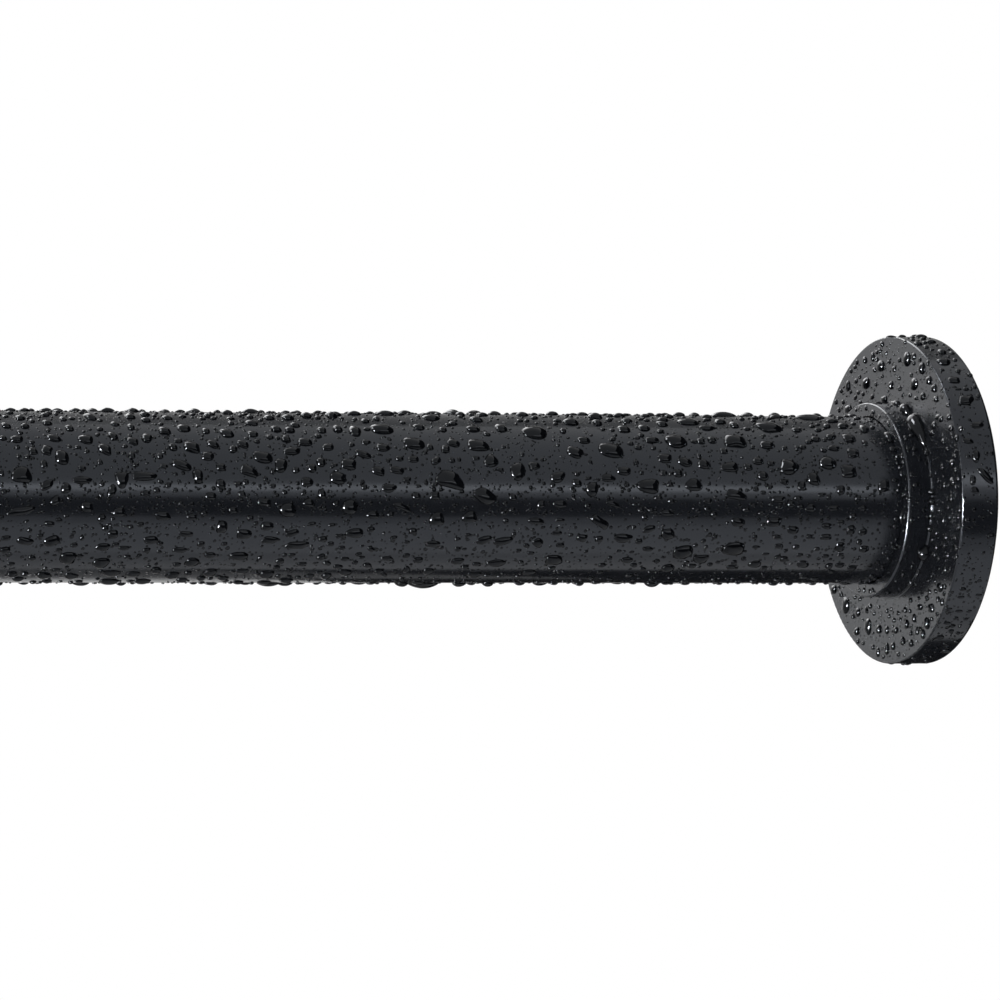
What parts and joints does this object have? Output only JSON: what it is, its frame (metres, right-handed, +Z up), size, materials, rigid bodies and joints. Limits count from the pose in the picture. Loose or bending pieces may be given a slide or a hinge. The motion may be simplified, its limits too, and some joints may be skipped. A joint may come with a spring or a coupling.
{
  "type": "spring tension rod",
  "caption": "Telescoping black tension rod with a round flange and rubber pad at each end; twisting the inner tube screws it out and squeezes a spring that wedges the rod between two walls.",
  "frame": {"origin": "the middle of the fixed end's wall face, on the rod's axis", "axes": "+X points out of the fixed end's wall face into the wall, the rod runs along -X, and +Z is up"},
  "size_m": [0.61, 0.05, 0.05],
  "materials": {
    "satin_black_paint": "satin black powder coat, wet with water drops",
    "pad_rubber": "matte black rubber with moulded grip rings",
    "black_nylon": "moulded black nylon",
    "natural_nylon": "moulded natural nylon",
    "white_acetal": "moulded white acetal",
    "spring_steel": "drawn spring wire, lightly oiled",
    "zinc_plated_steel": "zinc-plated steel"
  },
  "bodies": {
    "outer_assembly": {"outer_tube": "satin_black_paint", "fixed_flange": "satin_black_paint", "fixed_wall_pad": "pad_rubber", "tube_plug": "natural_nylon", "flange_screw": "zinc_plated_steel", "spring_seat": "natural_nylon", "compression_spring": "spring_steel", "mouth_bush": "black_nylon"},
    "screw_assembly": {"lead_screw": "white_acetal", "thrust_washer": "zinc_plated_steel", "retaining_washer": "zinc_plated_steel", "retaining_screw": "zinc_plated_steel", "end_stop": "natural_nylon", "end_stop_screw": "zinc_plated_steel"},
    "guide_carriage": {"guide_ring": "black_nylon"},
    "inner_assembly": {"inner_tube": "satin_black_paint", "drive_nut": "natural_nylon", "swivel_plug": "natural_nylon", "swivel_washer": "white_acetal", "swivel_screw": "zinc_plated_steel"},
    "free_end": {"free_flange": "satin_black_paint", "free_wall_pad": "pad_rubber"}
  },
  "joints": [
    {"name": "spring_travel", "type": "slide", "parent": "outer_assembly", "child": "screw_assembly", "axis": [1, 0, 0], "range_m": [0, 0.02], "stiffness_N_per_m": 3870, "springref_m": -0.015, "deforming": ["compression_spring"]},
    {"name": "extension", "type": "slide", "parent": "screw_assembly", "child": "guide_carriage", "axis": [-1, 0, 0], "range_m": [0, 0.305]},
    {"name": "twist", "type": "hinge", "parent": "guide_carriage", "child": "inner_assembly", "pos_m": [0, 0, 0], "axis": [1, 0, 0], "range_deg": [0, 10980]},
    {"name": "flange_swivel", "type": "hinge", "parent": "inner_assembly", "child": "free_end", "pos_m": [-0.61, 0, 0], "axis": [1, 0, 0], "continuous": true}
  ],
  "couplings": [
    {"joint": "extension", "follows": "twist", "m_per_rad": 0.0015915}
  ]
}
